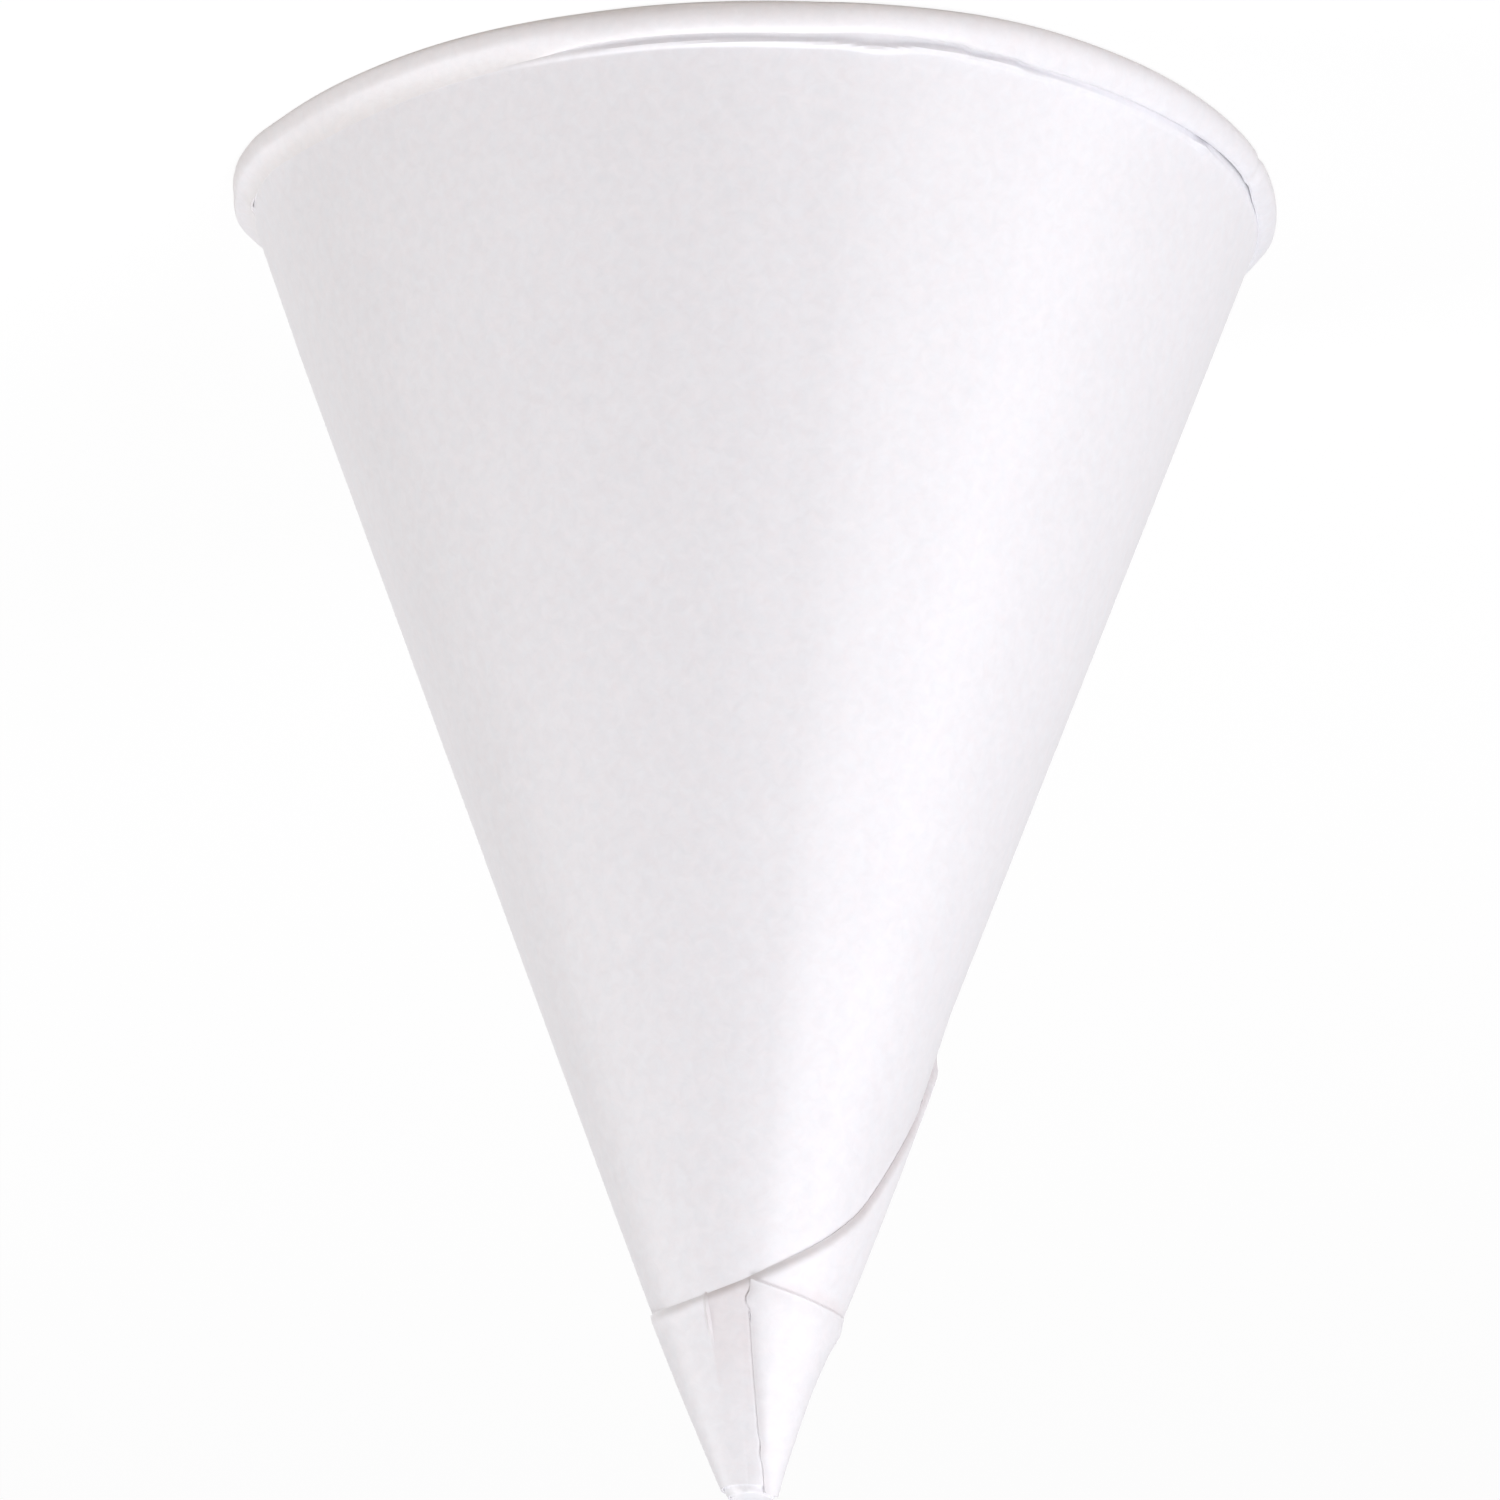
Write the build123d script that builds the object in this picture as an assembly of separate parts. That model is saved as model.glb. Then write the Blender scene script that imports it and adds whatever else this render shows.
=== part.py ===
"""Bagasse cone cup: one sheet wound into a cone, with a rolled rim and a closed, blunt tip.

The cup stands on its rim with its tip up. The origin is the middle of the rim's rest plane, and +Z is up.
The sheet winds outwards by one thickness a turn. Its azimuth is counted on from turn to turn, so an azimuth
of 360 and more is a second pass over the same place. A cut of the blank is straight while the sheet is flat,
and on the cone it becomes a spiral.
"""
from build123d import *
import math
import os

# Driving dimensions of the cup, in millimetres and degrees
rim_diameter = 73.0        # over the rolled rim
cup_height = 93.2          # from the rest plane to the blunt tip
tip_radius = 1.13          # first turn of the sheet, at the blunt tip
paper = 0.2                # thickness of the sheet
tip_wad = 3.0              # gathered paper that closes the tip
tip_bevel = 0.35           # shoulder of the tip's end

# Rolled rim, seen in section
lip_radius = 0.52          # turn of the lip, to the middle of the sheet
tuck_radius = 0.42         # turn of the roll's upper end, to the middle of the sheet
roll_height = 2.75         # along the wall
roll_gap = 0.32            # from the roll's free edge to the wall
neck_depth = 0.26          # paper gathered on the wall inside the roll
neck_height = 0.7

# Straight cuts of the flat blank: distance from the cone's point, and azimuth of the nearest point
inner_edge = -326.0        # the sheet's first edge runs straight down the wall, inside the cup
long_cut = (17.05, 336.9)  # from the rim, round the back, to the lower wall
tab_cut = (18.08, 573.7)   # upper edge of the tab that is wound last
end_cut = (2.42, 393.6)    # end of the tab: the seam that runs to the tip

# Sizes that follow from these: the wall's slope is the one that joins the lip to the tip
lip_outer = lip_radius + paper / 2
across, up_to_tip = rim_diameter / 2 - lip_outer - tip_radius, cup_height - lip_outer
slope = math.acos((lip_radius - paper / 2) / math.hypot(across, up_to_tip)) - math.atan2(up_to_tip, across)
sine, cosine = math.sin(slope), math.cos(slope)
point_height = cup_height + tip_radius * cosine / sine   # where the first turn would come to a point
wall_foot = neck_height / 2 + lip_outer
cavity_top = cup_height - tip_wad
margin = 4.0                                             # by which cutting solids pass what they cut
core = 1.5 * paper                                       # cutting solids start this far from the axis
reach = rim_diameter / 2 + margin
below, above = -margin, cup_height + margin
half_circle, quarter_circle = 180.0, 90.0


def heading(azimuth):
    """Unit vector that points away from the axis."""
    return Vector(math.cos(math.radians(azimuth)), math.sin(math.radians(azimuth)), 0)


def half_turn(number, depth=0.0, span=half_circle, bottom=wall_foot, top=cup_height):
    """Solid cone under half a turn of the sheet, or depth below its outer face.

    Even half turns share the cup's axis. Odd ones have an axis half a thickness aside, so the sheet climbs
    smoothly on to the turn below, and only its two ends make a step.
    """
    start = inner_edge + half_circle * number
    offset = (paper * number / 2 - depth) / cosine
    aside = heading(inner_edge) * (paper / 2 / cosine * (number % 2))
    place = Plane(origin=aside + Vector(0, 0, bottom), x_dir=heading(start), z_dir=(0, 0, 1))
    radii = [(point_height - z) * sine / cosine + offset for z in (bottom, top)]
    return Solid.make_cone(radii[0], radii[1], top - bottom, place, span)


def beyond(cut, turn, first, last, limit, count=16):
    """Everything between a cut of the blank and a height limit, from one azimuth to another."""
    distance, foot = cut
    layer_point = point_height + turn * paper / sine
    ends = [math.asinh(math.tan(math.radians((azimuth - foot) * sine))) for azimuth in (first, last)]
    sections = []
    for step in range(count):
        along = ends[0] + (ends[1] - ends[0]) * step / (count - 1)
        azimuth = foot + math.degrees(math.atan(math.sinh(along))) / sine
        height = layer_point - distance * math.cosh(along) * cosine
        out = heading(azimuth)
        inner, outer = out * core, out * reach
        corners = [inner + Vector(0, 0, height), outer + Vector(0, 0, height)]
        corners += [outer + Vector(0, 0, limit), inner + Vector(0, 0, limit)]
        sections.append(Wire.make_polygon(corners, close=True))
    return Solid.make_loft(sections)


def meeting_of_cuts(one, other):
    """Azimuth of the corner where two cuts of the blank meet."""
    low, high = one[1], other[1]
    for _ in range(60):
        middle = (low + high) / 2
        reach_one = one[0] / math.cos(math.radians((middle - one[1]) * sine))
        reach_other = other[0] / math.cos(math.radians((middle - other[1]) * sine))
        low, high = (middle, high) if reach_one < reach_other else (low, middle)
    return middle


def azimuth_on_cut(cut, slant, side):
    """Azimuth where a cut is a given distance from the cone's point, before or after its nearest point."""
    distance, foot = cut
    return foot + side * math.degrees(math.acos(distance / slant)) / sine


def wound_tail():
    """The turns that lie on the first one, trimmed to the cuts of the blank."""
    rim_end = azimuth_on_cut(long_cut, point_height / cosine + margin, -1)
    corner = meeting_of_cuts(long_cut, tab_cut)
    tail_end = azimuth_on_cut(end_cut, tab_cut[0] + margin, 1)
    joints = [inner_edge + half_circle * number for number in range(6)]
    second = half_turn(2) - beyond(long_cut, 1, rim_end, joints[3], below)
    third = half_turn(3) - beyond(long_cut, 1, joints[3], joints[4], below)
    fourth = half_turn(4) - beyond(long_cut, 1, joints[4], corner + margin, below)
    fourth -= beyond(tab_cut, 2, corner - margin, joints[5], below)
    fourth -= beyond(end_cut, 2, joints[4], joints[5], above)
    fifth = half_turn(5, span=tail_end - joints[5])
    fifth -= beyond(tab_cut, 2, joints[5], tail_end + margin, below)
    fifth -= beyond(end_cut, 2, joints[5], tail_end + margin, above)
    return [second, third, fourth, fifth]


def rolled_rim():
    """Lip, flank and tucked edge of the roll, with the neck that joins it to the wall.

    The lip is round. The roll's small shoulder and its hidden hollow have bevels in place of arcs.
    """
    half = paper / 2
    up, out = Vector(-sine, 0, cosine), Vector(cosine, 0, sine)
    axis_distance = (point_height * sine - half + lip_radius - lip_outer * sine) / cosine
    foot = Vector(axis_distance, 0, lip_outer) - out * lip_radius

    def at(along, away):
        return foot + up * along + out * away

    def bevels(along, away, radius, turned, steps):
        """Points of a small turn of the sheet, from its outer side on."""
        angles = [math.radians(turned) * step / steps for step in range(steps + 1)]
        return [at(along + radius * math.sin(angle), away + radius * math.cos(angle)) for angle in angles]

    flank = 2 * lip_radius
    tuck = roll_height - lip_outer - tuck_radius - half
    tuck_middle = flank - tuck_radius
    tuck_outer, tuck_inner = tuck_radius + half, tuck_radius - half
    edge, neck = half + roll_gap, half + neck_depth
    lip = ThreePointArc(at(0, -half), at(-lip_outer, lip_radius), at(0, flank + half))
    shoulder = Polyline(*bevels(tuck, tuck_middle, tuck_outer, quarter_circle, 3))
    free_edge = Polyline(shoulder @ 1, at(tuck + tuck_outer, edge), at(tuck + tuck_inner, edge))
    hollow = Polyline(
        free_edge @ 1,
        *reversed(bevels(tuck, tuck_middle, tuck_inner, quarter_circle, 2)),
        *bevels(0, lip_radius, lip_radius - half, -half_circle, 4)[:-1],
        at(0, neck), at(neck_height, neck), at(neck_height, -neck), lip @ 0,
    )
    return revolve(make_face([lip, Line(lip @ 1, shoulder @ 0), shoulder, free_edge, hollow]), Axis.Z)


def nose_bevel():
    """Ring that takes the sharp shoulder off the tip's end."""
    wound_radius = tip_radius + 2 * paper / cosine
    outline = Polyline(
        (wound_radius - tip_bevel, 0, cup_height), (wound_radius + tip_bevel, 0, cup_height - 2 * tip_bevel),
        (reach, 0, above), (wound_radius - tip_bevel, 0, above), close=True,
    )
    return revolve(make_face(outline), Axis.Z)


def wound_sheet():
    """The whole cup, built up turn by turn from the inside and then hollowed."""
    cup = Part() + half_turn(0)
    for layer in [half_turn(1), *wound_tail(), rolled_rim()]:
        cup += layer
    for number in (0, 1):
        cup -= half_turn(number, paper, bottom=below, top=cavity_top)
    return cup - nose_bevel()


if __name__ == "__main__":
    cone_cup = wound_sheet()
    os.makedirs("parts", exist_ok=True)
    export_step(cone_cup, "parts/cone_cup.step")
    print("solids", len(cone_cup.solids()), "valid", cone_cup.is_valid, "volume", round(cone_cup.volume, 1))
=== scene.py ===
# %% [markdown]
# A paper cone cup, standing on its rolled rim with its tip up.
# The cup is one sheet of sugar-cane paper, wound about two and a half times into a cone.
# It could be bent by hand from a stock cone. A wound sheet has a plain formula, though,
# so numpy works out the surface and Blender receives the finished mesh.
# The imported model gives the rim's width and the cup's height. The other numbers are the sheet's own,
# and the way in which this one cup was rolled and handled.

# %% Load the frame
import math
import bpy
import numpy as np
from mathutils import Matrix, Vector


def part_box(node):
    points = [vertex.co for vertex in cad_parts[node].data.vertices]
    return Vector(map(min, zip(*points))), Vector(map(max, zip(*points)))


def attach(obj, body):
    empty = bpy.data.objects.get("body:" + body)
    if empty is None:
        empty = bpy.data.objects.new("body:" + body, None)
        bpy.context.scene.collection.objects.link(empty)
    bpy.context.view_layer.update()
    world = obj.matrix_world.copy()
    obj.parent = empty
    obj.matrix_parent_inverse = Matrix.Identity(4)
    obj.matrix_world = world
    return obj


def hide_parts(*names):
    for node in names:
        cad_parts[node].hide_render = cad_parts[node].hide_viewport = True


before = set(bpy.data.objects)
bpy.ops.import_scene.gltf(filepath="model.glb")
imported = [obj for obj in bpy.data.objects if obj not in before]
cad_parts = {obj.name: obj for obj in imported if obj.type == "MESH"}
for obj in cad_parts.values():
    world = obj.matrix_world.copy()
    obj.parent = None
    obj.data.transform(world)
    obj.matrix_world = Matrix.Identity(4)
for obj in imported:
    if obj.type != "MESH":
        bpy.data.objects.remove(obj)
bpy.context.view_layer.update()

# %% [markdown]
# The frame fixes the rim's width and the height of the tip.
# The wall is the straight line that joins the lip to the tip, so its slope follows from them.
# A cone unrolls flat without stretching, so one turn of the cup takes only a slice of a full circle of paper.

# %% Sizes of the cup, in millimetres and degrees
millimetre = 0.001
low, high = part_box("cone_cup")
rim_radius = (high.x - low.x) / 2 / millimetre
cup_height = (high.z - low.z) / millimetre
tip_radius = 1.13
paper = 0.2
lip_radius = 0.52
lip_outer = lip_radius + paper / 2
across, up_to_tip = rim_radius - lip_outer - tip_radius, cup_height - lip_outer
slope = math.acos((lip_radius - paper / 2) / math.hypot(across, up_to_tip)) - math.atan2(up_to_tip, across)
sine, cosine = math.sin(slope), math.cos(slope)
point_height = cup_height + tip_radius * cosine / sine
print("slope", round(math.degrees(slope), 2), "degrees")
print("slice of a full circle", round(360 * sine, 1), "degrees")

# %% [markdown]
# The camera comes first, because every later choice is judged through it.
# It looks down on the standing cup from a little above and is turned over,
# so the tip points to the foot of the picture.
# A wide lens close by would swell the near side of the rim. A long lens far away keeps the perspective flat,
# as in a catalogue picture.

# %% Camera
camera_lift = 18.81
camera_roll = 180.677
camera_distance = 642.3 * millimetre
focal_pixels, frame_pixels = 9359.9, 1500
aim = Vector((-0.072, 0, 40.27)) * millimetre
back = Vector((0, -math.cos(math.radians(camera_lift)), math.sin(math.radians(camera_lift))))
turn = Matrix.Rotation(math.radians(camera_roll), 3, back)
side = Vector((1, 0, 0))
axes = (turn @ side, turn @ back.cross(side), back)
camera_data = bpy.data.cameras.new("photo_camera")
camera_data.sensor_width = 36
camera_data.lens = focal_pixels / frame_pixels * camera_data.sensor_width
camera_data.clip_start, camera_data.clip_end = 0.05, 20
camera = bpy.data.objects.new("photo_camera", camera_data)
camera.matrix_world = Matrix.Translation(aim + back * camera_distance) @ Matrix(axes).transposed().to_4x4()
bpy.context.scene.collection.objects.link(camera)
bpy.context.scene.camera = camera
print("lens", round(camera_data.lens, 1), "mm")

# %% [markdown]
# The sheet is a flat blank with straight cuts, and on the cone a straight cut becomes a spiral.
# The blank's outline could be drawn as a curve and projected. But a straight cut at a given distance
# from the cone's point has a simple polar formula, so each column of the grid ends where its cut says.
# Azimuth is counted on from turn to turn, so azimuth 400 lies over azimuth 40.
# A cut is written as its nearest distance to the point, and the azimuth of that place.

# %% Cuts of the blank
first_edge = -326.0
long_cut = (17.15, 331.0)
tab_cut = (17.785, 569.15)
end_cut = (1.251, 379.12)
nearly_square = 1.52


def on_cut(cut, azimuth, turn):
    """Distance down the cone: nearest distance over the cosine of the flat angle from the nearest place.

    Each turn's own point lies higher, by a thickness over the sine of the slope, and that is taken off.
    """
    flat = np.radians((azimuth - cut[1]) * sine)
    return cut[0] / np.cos(np.clip(flat, -nearly_square, nearly_square)) - turn * paper * cosine / sine


def solve_meeting(one, other, start, end):
    """Azimuth between start and end at which two cuts of one turn are equally far from the cone's point."""
    azimuth = np.linspace(start, end, 20001)
    return float(azimuth[np.argmin(np.abs(on_cut(one, azimuth, 0) - on_cut(other, azimuth, 0)))])


tail_corner = solve_meeting(long_cut, tab_cut, 400, 500)
tail_end = solve_meeting(tab_cut, end_cut, 600, 640)
print("corner of the tail", round(tail_corner, 1), "end of the tail", round(tail_end, 1))

# %% [markdown]
# A hand never rolls a rim evenly. Going round the cup, the roll stands out more or less,
# its free edge is tucked in or left open, and in places it is pressed flat against the wall.
# A bevelled circle would make an even roll. Here each trait of the roll is a curve of the azimuth instead,
# given at a few places and joined smoothly, so the whole rim is still one formula.

# %% The roll, round the rim


def round_rim(azimuth, places):
    """Closed curve of the azimuth through (azimuth, value) places: a cubic between each two of them.

    The slope at a place is the harmonic mean of the slopes on its two sides, or zero at a peak,
    so nothing overshoots.
    """
    where, what = np.array(sorted(places), float).T
    gap = np.diff(np.append(where, where[0] + 360))
    steep = (np.roll(what, -1) - what) / gap
    before = np.roll(steep, 1)
    same = steep * before > 0
    lean = np.where(same, 2 * steep * before / np.where(same, steep + before, 1), 0)
    turned = (azimuth - where[0]) % 360
    index = np.searchsorted(where - where[0], turned, side="right") - 1
    after = (index + 1) % len(where)
    way = (turned - (where - where[0])[index]) / gap[index]
    rise = what[index] + (what[after] - what[index]) * way * way * (3 - 2 * way)
    return rise + gap[index] * way * (1 - way) * (lean[index] * (1 - way) - lean[after] * way)


# Paper that the roll takes up
roll_length = 5.4
# How far the rim is pushed out of round
squash = [
    (7, -0.15), (40, -0.3), (85, -0.04), (120, 0.3), (150, 0.25), (172, 0.25), (193, 0.0), (208, 0.12),
    (228, 0.7), (243, 1.1), (258, 0.5), (264, 0.12), (268, 0.0), (271, -0.08), (292, -0.5), (316, -0.55),
    (345, -0.1),
]
# How far the rim alone is bent out or in
flare = [
    (1, 0.18), (4, -0.1), (8, -0.7), (12, -1.2), (18, -1.4), (26, -0.8), (44, 0), (145, 0), (158, -0.9),
    (168, -0.5), (176, 0), (285, 0), (300, 0.1), (314, 0.08), (327, 0.16), (335, 0.3), (338, 0.47),
    (342, 0.7), (347, 0.7), (352, 0.55), (357, 0.25),
]
# Half of the roll's depth, away from the wall
roll_depth = [
    (0, 0.5), (60, 0.55), (180, 0.45), (220, 0.5), (250, 0.56), (280, 0.55), (289, 0.42), (298, 0.27),
    (309, 0.19), (319, 0.14), (330, 0.12), (340, 0.16), (350, 0.36),
]
# Half of the roll's height, along the wall
roll_half = [
    (0, 1.0), (30, 1.1), (150, 1.0), (180, 0.86), (200, 0.93), (212, 1.04), (222, 1.15), (238, 1.2),
    (240.5, 1.17), (241.5, 1.1), (246.5, 1.07), (248, 0.96), (257, 0.9), (266, 0.97), (282, 0.93),
    (300, 0.96), (320, 1.0),
]
# Angle through which the paper is rolled
tucked = [
    (0, 308), (184, 308), (195, 294), (204, 290), (210, 312), (258, 300), (280, 305), (300, 312), (340, 308),
]
# Share by which the roll is pressed to a flat hem, and how far that hem runs up past its middle
pressed = [
    (0, 1.0), (20, 0.9), (60, 0.3), (90, 0.0), (180, 0.3), (190, 0.3), (195, 0.0), (286, 0.0), (300, 0.85),
    (340, 1.0),
]
hem_width = [(0, 0.3), (60, 0.9), (288, 0.9), (305, 0.9), (325, 0.9), (342, 0.5)]
# Ridge of gathered paper on the wall beside the roll, and its gap to the roll
ridge_height = [
    (0, 0.0), (180, 0.05), (200, 0.05), (207, 0.1), (210, 0.5), (213, 0.1), (222, 0.07), (238, 0.18),
    (248, 0.3), (252, 0.3), (257, 0.4), (262, 0.3), (280, 0.24), (296, 0.08), (305, 0.0),
]
ridge_gap = [
    (0, 0.3), (205, 0.25), (213, 0.2), (239, 0.22), (248, 0.36), (252, 0.42), (257, 0.72), (262, 0.44),
    (270, 0.36), (285, 0.32), (300, 0.3),
]

heights = 2 * round_rim(np.arange(0, 360, 5), roll_half)
print("height of the roll", round(heights.min(), 2), "to", round(heights.max(), 2), "mm")

# %% [markdown]
# The middle of the sheet is one surface of two parameters: azimuth, and distance from the cone's point.
# On the wall the distance simply runs down the cone, and each turn lies one thickness further out.
# An even spiral would climb all the way round. This one climbs in half of each turn,
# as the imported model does, so that the two agree.

# %% Layers of the winding
layer_step = paper + 0.03


def climb(azimuth):
    """Height of the sheet's outer face above the cone.

    It is level for half a turn, and then goes up by one layer in half a turn of a cosine.
    """
    turns = (azimuth - first_edge) / 360
    whole = np.floor(turns)
    rise = np.clip((turns - whole) * 2 - 1, 0, 1)
    return layer_step * (whole + (1 - np.cos(np.pi * rise)) / 2)


print("height of the layers", np.round(climb(first_edge + 360 * np.arange(3)), 2))

# %% [markdown]
# The tail of the sheet is wound over the first turns, and its cut edges are rubbed down on them.
# So they show as fine soft lines, not as steps. One side of the cup came loose:
# there the turns bulge a little, and only the very edge of the tail is still closed.
# This could be sculpted by hand. Soft steps and bell curves say the same in a line each.
# Numbers set against an azimuth are degrees, and all others are millimetres.

# %% Rubbed edges and the loose side
slack = 0.42
wall_share = 0.7


def smooth(start, end, value):
    """Zero before start, one after end, and three squares less two cubes of the way between."""
    way = np.clip((value - start) / (end - start), 0, 1)
    return way * way * (3 - 2 * way)


def bump(value, middle, width):
    """Bell curve: e to the power of minus the squared distance from the middle, in widths."""
    return np.exp(-((value - middle) / width) ** 2)


def rubbed_edge(azimuth, distance, edge):
    """How far a cut edge is rubbed down on the wall: bell curves from the edge inwards."""
    spiral = np.interp(azimuth, [104, 180, 195, 285, 330, 372], [0.2, 0.23, 0.3, 0.28, 0.25, 0.0])
    last_turn = np.interp(azimuth, [500, 530, 565, 628], [0.0, 0.16, 0.12, 0.1])
    narrow, broad = bump(edge - distance, 0, 0.36), bump(edge - distance, 0, 0.7)
    return (spiral * narrow + last_turn * broad) * smooth(104, 112, azimuth)


def loose_side(azimuth, distance):
    """Bulge where the tail comes round from the back.

    It is a soft rise and a bell curve of the azimuth, times a curve of the distance down the cone.
    """
    turned = azimuth % 360
    rise = smooth(96, 178, turned)
    fall = bump(np.maximum(turned - 166, 0), 0, 24)
    lobe = np.interp(distance, [0, 2.8, 5.1, 8.2, 11.3, 14.4, 16, 17.5, 20.6, 24, 28, 34],
                     [0, -0.17, -0.5, -0.46, -0.4, -0.12, 0.2, 0.25, 0.4, 0.5, 0.6, 0.64])
    return lobe * rise * fall


def tail_slack(azimuth, distance, edge):
    """Looseness: the wall has a share of the bulge, and the tail all of it but for its closed edge.

    The tail is also slack by a cosine of the azimuth, growing towards the tip.
    """
    tail = smooth(130, 165, azimuth)
    closed = bump(edge - distance, 0, 0.3) * smooth(300, 260, azimuth) * tail
    side = np.clip(np.cos(np.radians(azimuth - 180)), 0, 1)
    even = slack * side * smooth(36, 14, distance) * tail * (1 - 0.35 * closed)
    bulge = loose_side(azimuth, distance)
    wall = wall_share * bulge * smooth(35.4, 33.7, distance)
    gone = np.interp(azimuth, [125, 166], [54, 38])
    full = np.interp(azimuth, [125, 166], [30, 36])
    return even + wall + (bulge * smooth(gone, full, distance) - wall) * tail * (1 - closed)


print("bulge of the loose side", round(float(loose_side(175, 28)), 2), "mm")

# %% [markdown]
# The last turn ends in a seam that runs down to the tip. It is a torn edge more than a cut one,
# so it is rubbed thin and wanders a little. The tip itself leans to one side.
# A torn edge could be modelled point by point. Two waves beside the straight cut are enough at this size.

# %% End seam and leaning tip
lean, lean_length = 0.82, 20.6
sheet_quarter = 258


def past_seam(azimuth, distance):
    """How far a place of the last turn lies from the end cut.

    It is the distance from the point times the cosine of the flat angle, less the cut's own distance.
    """
    flat = np.radians(np.clip(azimuth - end_cut[1], 0, sheet_quarter) * sine)
    return (distance + 2 * paper * cosine / sine) * np.cos(flat) - end_cut[0]


def end_seam(azimuth, distance):
    """How far the seam is rubbed down, and how far it wanders: bell curves, and a wave of the distance."""
    from_seam = past_seam(azimuth, distance)
    last_turn = smooth(500, 540, azimuth)
    rubbed = (0.05 + 0.05 * smooth(7, 11, distance)) * bump(from_seam, 0, 0.4) * last_turn
    jog = 3.0 * bump(distance, 16.4, 0.5) + 1.6 * np.sin(3.4 * distance) * bump(distance, 6.2, 1.2)
    return rubbed, jog * (bump(from_seam, 0, 0.9) * last_turn)


def tip_lean(level):
    """Sideways lean of the tip: the square of the share of its last twenty millimetres."""
    return lean * np.clip(1 - (point_height - level) / lean_length, 0, 1) ** 2


print("lean at the tip", round(float(tip_lean(cup_height)), 2), "mm")

# %% [markdown]
# Past the end of the wall the distance runs on round the roll. In section the roll is a flattened scroll,
# or a flat hem where it was pressed. A swept profile could not change from one to the other,
# so both are worked out for every place, and the rim's own curves say how much of each is there.

# %% The wound sheet as a surface
hem_gap = 0.04
inner_shrink = (0.13, 0.2)


def roll_centre(half, depth):
    """Distance of the scroll's middle down the cone, such that its lowest point rests on the floor."""
    drop = np.hypot(half * cosine, depth * sine)
    return (point_height + (depth - paper / 2) * sine - drop - paper / 2) / cosine


def roll_section(azimuth, past, half, depth):
    """How far down and out of the wall's end the roll runs, for a share of its length.

    The scroll is half the height times the sine of the angle, and the depth times one less the cosine.
    After half a turn the hem runs straight up the wall instead, and comes down to it in a cosine.
    """
    reach = np.radians(round_rim(azimuth, tucked))
    angle = past * reach
    scroll = (half * np.sin(angle), depth * (1 - np.cos(angle)))
    way = np.clip((angle - np.pi) / (reach - np.pi), 0, 1)
    after = angle > np.pi
    gap = hem_gap + 0.27 * bump(azimuth % 360, 352.5, 2.2)
    hem = (np.where(after, -way * (half + round_rim(azimuth, hem_width)), scroll[0]),
           np.where(after, gap + (2 * depth - gap) * (1 + np.cos(np.pi * way ** 0.6)) / 2, scroll[1]))
    share = round_rim(azimuth, pressed)
    down = scroll[0] + (hem[0] - scroll[0]) * share
    out = scroll[1] + (hem[1] - scroll[1]) * share
    nick = 0.25 * out * bump(azimuth % 360, 196.5, 1.0)
    return down - nick * sine / cosine, out - nick


def wall_point(azimuth, distance, height, bent):
    """Point at a distance down the cone and a height above it.

    A squashed cup's radius goes in and out round it, and a bent rim adds to the radius.
    """
    radius = (distance * sine + height * cosine) * (1 + round_rim(azimuth, squash) / rim_radius) + bent
    level = point_height - distance * cosine + height * sine
    turned = np.radians(azimuth)
    return np.stack([radius * np.cos(turned) - tip_lean(level), radius * np.sin(turned), level], axis=-1)


def sheet_middle(azimuth, distance, edge):
    """Middle of the wound sheet: the wall with its layers, edges and ridge, and past its end the roll."""
    inside = smooth(32, 37, azimuth)
    depth, half = round_rim(azimuth, roll_depth), round_rim(azimuth, roll_half)
    centre = roll_centre(half, depth)
    depth, half = depth - inner_shrink[0] * inside, half - inner_shrink[1] * inside
    past = np.clip((distance - centre) / roll_length, 0, 1)
    down, out = roll_section(azimuth, past, half, depth)
    fade = 1 - smooth(centre - 6, centre, distance)
    base = climb(azimuth) * (fade + (1 - fade) * inside) - paper / 2
    top = centre - half - paper / 2
    ridge = bump(distance, top - round_rim(azimuth, ridge_gap) - 0.2, 0.2)
    base = base + round_rim(azimuth, ridge_height) * ridge * (1 - inside)
    rubbed, wander = end_seam(azimuth, distance)
    crease = 0.16 * bump(azimuth, 295, 1.0) * bump(distance, 15.3, 1.6)
    loose = tail_slack(azimuth, distance, edge)
    lifted = base - rubbed_edge(azimuth, distance, edge) + loose - rubbed + crease
    place = np.minimum(distance, centre) + down
    bent = round_rim(azimuth, flare) * smooth(centre - 5, centre + 1, place)
    return wall_point(azimuth + wander, place, lifted + out, bent)


print("middle of the roll", round(float(roll_centre(1.0, 0.5)), 1), "mm down the cone")

# %% [markdown]
# The surface is cut into a grid. An even grid would waste its faces on the back and the inside,
# so the columns stand closer together where the camera looks, and the rows closer in the roll.
# A column starts at the tip, or at the seam where the tail is cut off, and ends at the free edge or at a cut.
# On the loose side the spiral cut has slipped some way towards the rim.

# %% Grid of the sheet


def columns(*stretches):
    """Azimuths from one place to the next, each stretch divided by its own step."""
    parts = [np.linspace(a, b, int(round((b - a) / step)), endpoint=False) for a, b, step in stretches]
    return np.concatenate(parts + [np.array([stretches[-1][1]])])


front = [(-192, -166, 0.7), (-166, -144, 0.4), (-144, -26, 0.7), (-26, -10, 0.4), (-10, 14, 0.6)]
second = [(14, 104, 2.2), (104, 152, 2.4), (152, 196, 1.2), (196, 286, 1.6), (286, 304, 0.6), (304, 368, 1.6)]
last = [(368, 556, 2.4), (556, tail_end - 1.8, 0.6)]
azimuths = columns((first_edge, -192, 2.2), *front, *second, *last)

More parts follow.
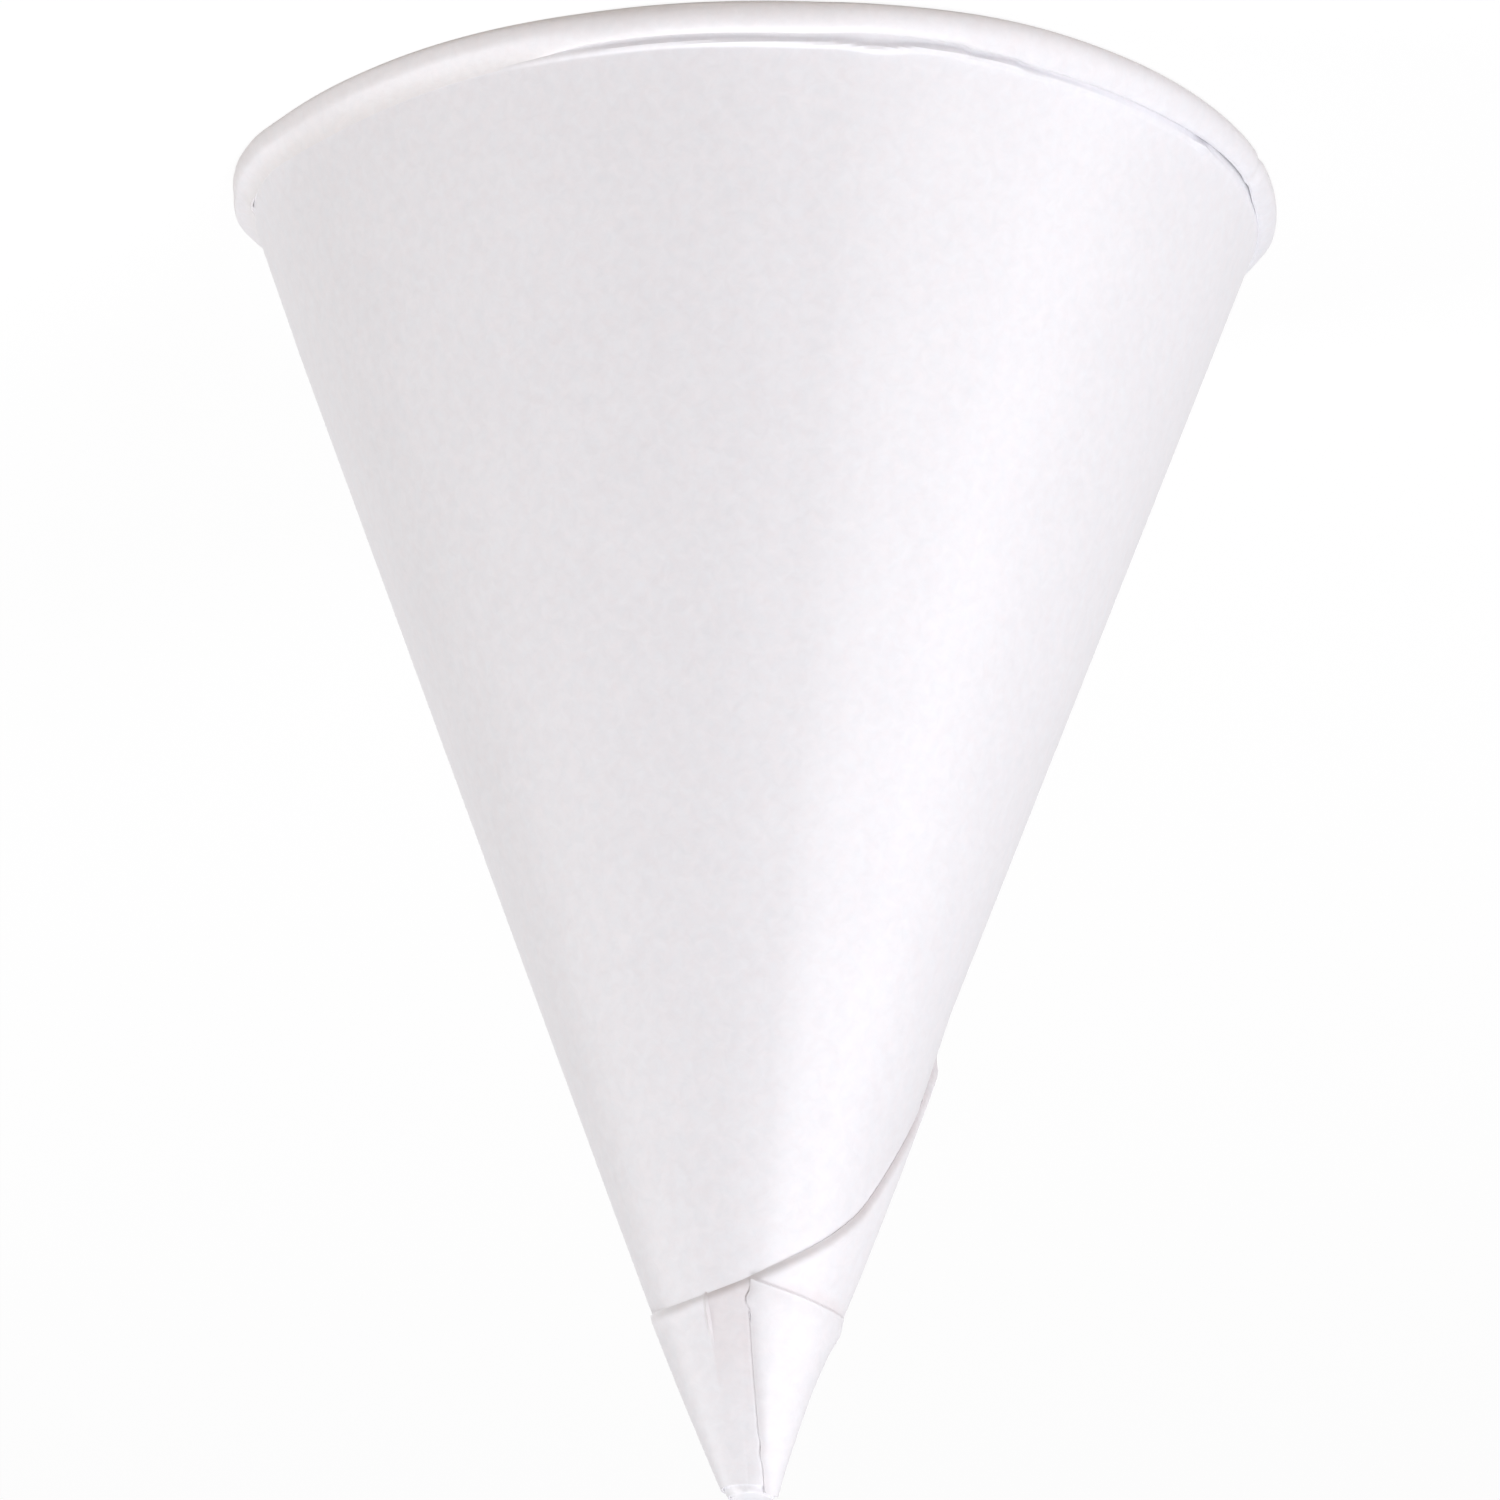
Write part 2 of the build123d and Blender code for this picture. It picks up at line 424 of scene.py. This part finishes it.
tip_start = (point_height - cup_height + 0.15) / cosine
drawn_back = 0.55 * (smooth(180, 240, azimuths) - smooth(520, 560, azimuths))
starts = np.where(azimuths > end_cut[1], on_cut(end_cut, azimuths, 2), 0)
starts = np.maximum(starts, tip_start + climb(azimuths) * sine / cosine + drawn_back)

wall_end = roll_centre(round_rim(azimuths, roll_half), round_rim(azimuths, roll_depth))
unrolled = roll_length * (1 - smooth(60, 100, azimuths))
slipped = (4.9 * smooth(203, 155, azimuths) + 3.0 * smooth(176, 164, azimuths)) * smooth(100, 160, azimuths)
no_cut = 1e3
ends = np.where(azimuths < 80, no_cut, on_cut(long_cut, azimuths, 1) + slipped)
ends = np.where(azimuths > tail_corner, on_cut(tab_cut, azimuths, 2), ends)
ends = np.minimum(wall_end + unrolled, ends)

near_roll, near_lip = 2.9, 1.0
wall_rows = np.linspace(0, 1, 13, endpoint=False)
rim_rows = np.concatenate([np.linspace(-near_roll, -near_lip, 18, endpoint=False),
                           np.linspace(-near_lip, 0, 4, endpoint=False),
                           np.linspace(0, roll_length, 25)])
tail_rows = 1 - (1 - np.linspace(0, 1, len(wall_rows) + len(rim_rows))) ** 1.4
full = np.concatenate([starts[:, None] + (wall_end - near_roll - starts)[:, None] * wall_rows,
                       wall_end[:, None] + rim_rows], axis=1)
full = (full - starts[:, None]) / (wall_end + roll_length - starts)[:, None]
rows = full + (tail_rows - full) * smooth(60, 112, azimuths)[:, None]
distances = starts[:, None] + (ends - starts)[:, None] * rows
azimuth_grid = azimuths[:, None] + 0 * distances
middle = sheet_middle(azimuth_grid, distances, ends[:, None])
print("grid", middle.shape[:2], "blank angle", round((tail_end - first_edge) * sine, 1))

# %% [markdown]
# Paper has two faces and a cut edge. Blender's Solidify could thicken the grid.
# Here the grid's own tangents give its normal, and half a thickness each way along it gives the two faces,
# so the mesh is finished as it is and every point keeps its place on the flat blank.
# Four strips close the edges, so the sheet is one solid skin with no holes.

# %% Give the sheet its thickness


def skin(middle, thickness):
    """Closed mesh round a grid: both faces lie half a thickness along the normal.

    The normal is the cross product of the grid's two tangents.
    """
    along, down = np.gradient(middle, axis=0), np.gradient(middle, axis=1)
    normal = np.cross(down, along)
    normal /= np.maximum(np.linalg.norm(normal, axis=-1, keepdims=True), 1e-9)
    points = np.concatenate([(middle + normal * thickness / 2).reshape(-1, 3),
                             (middle - normal * thickness / 2).reshape(-1, 3)])
    count = middle.shape[0] * middle.shape[1]
    outer = np.arange(count).reshape(middle.shape[:2])
    inner = outer + count

    def quads(a, b, c, d):
        return np.stack([a, b, c, d], axis=-1).reshape(-1, 4)

    faces = [
        quads(outer[:-1, :-1], outer[:-1, 1:], outer[1:, 1:], outer[1:, :-1]),
        quads(inner[:-1, :-1], inner[1:, :-1], inner[1:, 1:], inner[:-1, 1:]),
        quads(outer[:-1, 0], outer[1:, 0], inner[1:, 0], inner[:-1, 0]),
        quads(outer[1:, -1], outer[:-1, -1], inner[:-1, -1], inner[1:, -1]),
        quads(outer[0, 1:], outer[0, :-1], inner[0, :-1], inner[0, 1:]),
        quads(outer[-1, :-1], outer[-1, 1:], inner[-1, 1:], inner[-1, :-1]),
    ]
    return points, np.concatenate(faces)


points, faces = skin(middle, paper)
print("skin", len(points), "points")

# %% [markdown]
# White paper is not one white. Doubled paper lets less light through and looks whiter.
# A strip between the seam and a crease is darker. The rest is painted light and shade:
# the last turn is lightened against the shade of its slope, the spiral cut and the seam get painted shadows,
# a band inside the spiral cut gets a painted highlight, and the roll and its groove a painted warm bounce.
# Such tints could be painted on the mesh by hand. Here they are worked out for the points of the grid
# and stored with them, and the finish multiplies them into its colour.

# %% Tints of the paper, with painted light and shade


def paper_tint_and_painted_light(azimuth, distance, edge, centre, top):
    """Tint of the paper with painted light and shade, three factors near one: soft steps and bell curves,
    each times its own tint.
    """
    # Whiter where outer turns lie over others. On the last turn this is also painted light against the shade
    # of its slope.
    doubled_paper_and_painted_light = smooth(150, 190, azimuth) * smooth(280, 250, azimuth) + smooth(500, 560, azimuth)
    # A darker, slightly warm strip between the seam and the crease.
    seam_strip = smooth(296.5, 294, azimuth) * smooth(150, 200, azimuth)
    seam_strip = seam_strip * smooth(17.9, 17.2, distance) * smooth(8, 14, distance)
    # Painted shade along the spiral cut edge, stronger where the tail stands loose.
    cut_edge_shade = bump(edge - distance, 0, 0.5) * smooth(104, 112, azimuth) * smooth(300, 280, azimuth)
    cut_edge_shade = cut_edge_shade * (1 + 0.9 * smooth(225, 190, azimuth))
    # Painted highlight on a band half a millimetre inside the spiral cut edge.
    edge_highlight = bump(edge - distance, 0.5, 0.7) * smooth(295, 297, azimuth) * smooth(385, 365, azimuth)
    # Painted shade along the end seam of the last turn.
    seam_shade = bump(past_seam(azimuth, distance), 0.05, 0.3) * smooth(500, 540, azimuth)
    front = smooth(-150, -80, azimuth) * smooth(100, 60, azimuth)
    # Painted warm bounce light from the floor on the rolled rim.
    rim_bounce = smooth(centre - 0.5, centre + 1, distance) * front
    # Painted warm bounce light in the groove beside the roll and on the roll's tucked end.
    groove_bounce = (bump(distance, top, 0.4) + 0.5 * smooth(centre + 3.6, centre + 4.6, distance)) * front
    # Each mask times its colour: the paper's own tints, and the painted light and shade noted above.
    tints = (
        (doubled_paper_and_painted_light, (0.03, 0.03, 0.03)),
        (seam_strip, (-0.03, -0.055, -0.06)),
        (cut_edge_shade, (-0.11, -0.13, -0.135)),
        (edge_highlight, (0.07, 0.07, 0.07)),
        (seam_shade, (-0.1, -0.11, -0.11)),
        (rim_bounce, (0.0, -0.012, -0.025)),
        (groove_bounce, (0.0, -0.01, -0.03)),
    )
    return 1 + sum(amount[..., None] * np.array(tint) for amount, tint in tints)


roll_top = wall_end - round_rim(azimuths, roll_half) - paper / 2
limits = [limit[:, None] for limit in (ends, wall_end, roll_top)]
# Tints of the paper with painted light and shade, for each point of the grid.
tint_and_painted_light = paper_tint_and_painted_light(azimuth_grid, distances, *limits).reshape(-1, 3)
print("tints", np.round(tint_and_painted_light.min(axis=0), 3), "to", np.round(tint_and_painted_light.max(axis=0), 3))

# %% [markdown]
# A Blender piece is an object that shows a mesh. The mesh also carries the flat blank as a UV map,
# so that the grain of the paper follows the sheet as it is wound.
# Faces are shaded smooth, and only the cut edges stay sharp.

# %% Put the sheet into the scene
blank_unit = 100


def add_piece(name, points, faces, flat, tint_and_painted_light, sharp_angle=38):
    """Mesh object at the origin, smooth but for sharp edges.

    Its flat pattern is a UV map, and its tint, with painted light and shade, an attribute of its points.
    """
    mesh = bpy.data.meshes.new(name)
    mesh.from_pydata((points * millimetre).tolist(), [], faces)
    mesh.polygons.foreach_set("use_smooth", np.ones(len(mesh.polygons), bool))
    mesh.set_sharp_from_angle(angle=math.radians(sharp_angle))
    corner = np.empty(len(mesh.loops), np.int32)
    mesh.loops.foreach_get("vertex_index", corner)
    mesh.uv_layers.new(name="flat_blank").data.foreach_set("uv", flat[corner].astype(np.float32).ravel())
    colour = np.concatenate([tint_and_painted_light, np.ones((len(tint_and_painted_light), 1))], axis=1).astype(np.float32)
    mesh.attributes.new("tint_and_painted_light", "FLOAT_COLOR", "POINT").data.foreach_set("color", colour.ravel())
    piece = bpy.data.objects.new(name, mesh)
    bpy.context.scene.collection.objects.link(piece)
    return piece


turned = np.radians(azimuths * sine)[:, None]
flat = np.stack([distances * np.cos(turned), distances * np.sin(turned)], axis=-1).reshape(-1, 2) / blank_unit
both_flat, both_tint_and_painted_light = np.tile(flat, (2, 1)), np.tile(tint_and_painted_light, (2, 1))
wound_sheet = add_piece("wound_sheet", points, faces.tolist(), both_flat, both_tint_and_painted_light)
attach(wound_sheet, "root")
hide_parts("cone_cup")
print("sheet", len(faces) * 2, "triangles")

# %% [markdown]
# At the tip the turns are too tight to wind any further, and the paper gathers into a small plug.
# A stock cone would show as a clean disc in the tip. So the plug is a profile carried once round the axis,
# closed by soft domes and dented a little, as crumpled paper is.

# %% Gathered paper in the tip
plug_depth, plug_length = 3.0, 2.93
plug_spare, plug_shift = 0.27, 0.2
smallest_radius = 0.004


def gathered_tip(around=48, along=15):
    """Plug: a cone inside the first turn, closed by domes, its radius dented by sines of the azimuth."""
    turn_angle = np.linspace(0, 2 * np.pi, around, endpoint=False)[:, None]
    way = np.linspace(0, 1, along)[None, :]
    level = cup_height - plug_depth + plug_length * smooth(0.12, 0.88, way)
    full = (point_height - level) * sine / cosine + plug_spare
    dome = np.sqrt(np.clip(1 - np.abs(2 * way - 1) ** 7, 0, 1))
    dent = 1 + 0.05 * np.sin(3 * turn_angle + 6 * way) * dome
    radius = np.maximum(full * dome * dent, smallest_radius)
    level = level + 0.07 * np.sin(2 * turn_angle + 1.0) * (way > 0.8) * (radius / full)
    sideways = radius * np.cos(turn_angle) - tip_lean(level) - plug_shift
    return np.stack([sideways, radius * np.sin(turn_angle), level], axis=-1)


def lathe_faces(around, along):
    """Quads between the rings of a closed lathe, with one polygon at each end."""
    ring = np.arange(around * along).reshape(around, along)
    after = np.roll(ring, -1, axis=0)
    sides = np.stack([ring[:, :-1], after[:, :-1], after[:, 1:], ring[:, 1:]], axis=-1).reshape(-1, 4)
    return sides.tolist() + [ring[::-1, 0].tolist(), ring[:, -1].tolist()]


plug = gathered_tip()
plug_points, plug_faces = plug.reshape(-1, 3), lathe_faces(*plug.shape[:2])
plug_flat, plug_stain = plug_points[:, ::2] / blank_unit, np.ones_like(plug_points)
tip_plug = add_piece("tip_plug", plug_points, plug_faces, plug_flat, plug_stain)
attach(tip_plug, "root")
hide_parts("cone_cup")
print("plug", len(plug_faces), "faces")

# %% [markdown]
# Shader nodes are wired by hand in Blender's editor. In a script it is clearer to write them as sums.
# This small class stands for one output of a node: arithmetic on it adds Math nodes,
# and its one method adds any other node.

# %% Shader sums


class Socket:
    """One output of a shader node. Plus, minus and times add Math nodes."""

    def __init__(self, tree, output=None):
        self.tree, self.output = tree, output

    def node(self, kind, settings, values, result=0):
        """Add a node: its settings first, and then the values or links of its sockets."""
        made = self.tree.nodes.new(kind)
        for name, value in settings.items():
            setattr(made, name, value)
        for name, value in values.items():
            if isinstance(value, Socket):
                self.tree.links.new(value.output, made.inputs[name])
            else:
                made.inputs[name].default_value = value
        return Socket(self.tree, made.outputs[result])

    def sum_node(self, operation, first, second):
        return self.node("ShaderNodeMath", {"operation": operation}, {0: first, 1: second})

    def __add__(self, other):
        return self.sum_node("ADD", self, other)

    def __radd__(self, other):
        return self.sum_node("ADD", other, self)

    def __sub__(self, other):
        return self.sum_node("SUBTRACT", self, other)

    def __rsub__(self, other):
        return self.sum_node("SUBTRACT", other, self)

    def __mul__(self, other):
        return self.sum_node("MULTIPLY", self, other)

    def __rmul__(self, other):
        return self.sum_node("MULTIPLY", other, self)


def mix_colours(tree, share, one, other, blend="MIX"):
    """Mix node for two colours."""
    settings = {"data_type": "RGBA", "blend_type": blend}
    return tree.node("ShaderNodeMix", settings, {0: share, 6: one, 7: other}, 2)


def new_material(name):
    """Empty node material, its tree as a Socket, and its output node."""
    material = bpy.data.materials.new(name)
    material.use_nodes = True
    material.node_tree.nodes.clear()
    return material, Socket(material.node_tree), material.node_tree.nodes.new("ShaderNodeOutputMaterial")


print("shader sums ready")

# %% [markdown]
# Bagasse is what is left of sugar cane after pressing. Its fibres are short, so the paper is white
# with a faint, uneven cloudiness and a slightly rough face.
# Noise in space would run on across the seams. So the pattern is laid on the flat blank,
# and turns with the sheet.

# %% Bagasse paper
warm_shades = ((0.842, 0.806, 0.83, 1), (0.896, 0.862, 0.886, 1))
cool_shades = ((0.802, 0.83, 0.87, 1), (0.856, 0.886, 0.926, 1))


def bagasse_paper():
    """White paper: cloud, fibre and tint noises on the flat blank.

    Cloud and fibre shade it by a few hundredths, the tint goes from warm to cool, and the fibre roughens it.
    """
    material, tree, output = new_material("bagasse_paper")
    blank = tree.node("ShaderNodeUVMap", {"uv_map": "flat_blank"}, {})

    def noise(scale, detail, roughness, distortion=0.0):
        return tree.node("ShaderNodeTexNoise", {}, {"Vector": blank, "Scale": scale, "Detail": detail,
                                                    "Roughness": roughness, "Distortion": distortion})

    cloud = noise(14.0, 3.0, 0.6)
    fibre = noise(110.0, 4.0, 0.65, 0.6)
    tint = noise(85.0, 3.0, 0.75)
    shade = 0.5 + (cloud - 0.5) * 0.7 + (fibre - 0.5) * 2.1
    warm = mix_colours(tree, shade, *warm_shades)
    cool = mix_colours(tree, shade, *cool_shades)
    clean = mix_colours(tree, tint, warm, cool)
    # The tint attribute brings painted light and shade as well as the paper's own tints.
    tint_and_painted_light = tree.node("ShaderNodeAttribute", {"attribute_name": "tint_and_painted_light"}, {}, "Color")
    colour = mix_colours(tree, 1.0, clean, tint_and_painted_light, "MULTIPLY")
    normal = tree.node("ShaderNodeBump", {}, {"Height": fibre, "Strength": 0.08, "Distance": 0.0002})
    roughness = 0.47 + (fibre - 0.5) * 0.15
    shader = tree.node("ShaderNodeBsdfPrincipled", {}, {
        "Base Color": colour, "Roughness": roughness, "Normal": normal, "Specular IOR Level": 0.5})
    material.node_tree.links.new(shader.output, output.inputs["Surface"])
    return material


paper_finish = bagasse_paper()
for piece in (wound_sheet, tip_plug):
    piece.data.materials.append(paper_finish)
print("paper nodes", len(paper_finish.node_tree.nodes))

# %% [markdown]
# The floor is plain and pale. More light would turn it white, but would wash out the cup too.
# So to the camera it is lifted most of the way to white, and the rest of it is ordinary shading,
# which keeps the cup's soft shadow. The world is white to the camera, and an even, weak light to the cup.

# %% Floor and world
white = (1, 1, 1, 1)
lifted_to_white = 0.9


def pale_floor(size=3.0):
    """Square in the rest plane, white to the camera but for a tenth of its own shading."""
    points = np.array([(-1, -1, 0), (1, -1, 0), (1, 1, 0), (-1, 1, 0)], float) * size / 2
    mesh = bpy.data.meshes.new("pale_floor")
    mesh.from_pydata(points.tolist(), [], [(0, 1, 2, 3)])
    floor = bpy.data.objects.new("pale_floor", mesh)
    bpy.context.scene.collection.objects.link(floor)
    material, tree, output = new_material("pale_floor")
    path = material.node_tree.nodes.new("ShaderNodeLightPath")
    seen = [Socket(material.node_tree, path.outputs[name])
            for name in ("Is Camera Ray", "Is Glossy Ray", "Is Transmission Ray")]
    shown = tree.sum_node("MAXIMUM", tree.sum_node("MAXIMUM", seen[0], seen[1]), seen[2])
    colour = mix_colours(tree, shown, (0.55, 0.5, 0.45, 1), (0.95, 0.95, 0.95, 1))
    matt = tree.node("ShaderNodeBsdfDiffuse", {}, {"Color": colour})
    glow = tree.node("ShaderNodeEmission", {}, {"Color": white, "Strength": 1.0})
    both = tree.node("ShaderNodeMixShader", {}, {0: shown * lifted_to_white, 1: matt, 2: glow})
    material.node_tree.links.new(both.output, output.inputs["Surface"])
    mesh.materials.append(material)
    return floor


def even_world(strength):
    """White world for the camera, and a weaker even light for everything else."""
    world = bpy.data.worlds.new("even_world")
    world.use_nodes = True
    world.node_tree.nodes.clear()
    tree = Socket(world.node_tree)
    output = world.node_tree.nodes.new("ShaderNodeOutputWorld")
    path = world.node_tree.nodes.new("ShaderNodeLightPath")
    camera_ray = Socket(world.node_tree, path.outputs["Is Camera Ray"])
    light = tree.node("ShaderNodeBackground", {}, {"Color": (1, 0.955, 0.93, 1), "Strength": strength})
    plain = tree.node("ShaderNodeBackground", {}, {"Color": white, "Strength": 1.0})
    both = tree.node("ShaderNodeMixShader", {}, {0: camera_ray, 1: light, 2: plain})
    world.node_tree.links.new(both.output, output.inputs["Surface"])
    bpy.context.scene.world = world


floor = pale_floor()
even_world(0.25)
print("floor", floor.name)

# %% [markdown]
# The key lamp stands before the cup, to the right in the picture, and makes the bright side of the cone.
# A low lamp further round to the right lights the edge, and one high above evens out the wall.
# A fill lamp on the far left keeps the shaded side clear. One lamp alone would be harsh,
# and an even light from everywhere would hide the seams.

# %% Lamps
lamp_distance, lamp_size = 0.9, 0.3
cool_white = (0.966, 0.966, 1.012)
plain_white = (0.985, 0.985, 1.0)


def soft_lamp(name, azimuth, lift, power, colour):
    """Square area lamp at a fixed distance from the middle of the cup, facing it."""
    turned, raised = math.radians(azimuth), math.radians(lift)
    level = math.cos(raised)
    away = Vector((math.cos(turned) * level, math.sin(turned) * level, math.sin(raised)))
    data = bpy.data.lights.new(name, "AREA")
    data.energy, data.size, data.color = power, lamp_size, colour
    lamp = bpy.data.objects.new(name, data)
    lamp.location = Vector((0, 0, cup_height / 2 * millimetre)) + away * lamp_distance
    lamp.rotation_euler = away.to_track_quat("Z", "Y").to_euler()
    bpy.context.scene.collection.objects.link(lamp)
    return lamp


key_lamp = soft_lamp("key_lamp", 235, 30, 3.1, cool_white)
edge_lamp = soft_lamp("edge_lamp", 190, 8, 1.64, cool_white)
top_lamp = soft_lamp("top_lamp", 250, 76, 4.0, plain_white)
fill_lamp = soft_lamp("fill_lamp", 10, 30, 3.4, plain_white)
print("lamps", key_lamp.name, edge_lamp.name, top_lamp.name, fill_lamp.name)

# %% [markdown]
# Colours are shown as they are written, with no film curve.

# %% Finish
bpy.context.scene.view_settings.view_transform = "Standard"
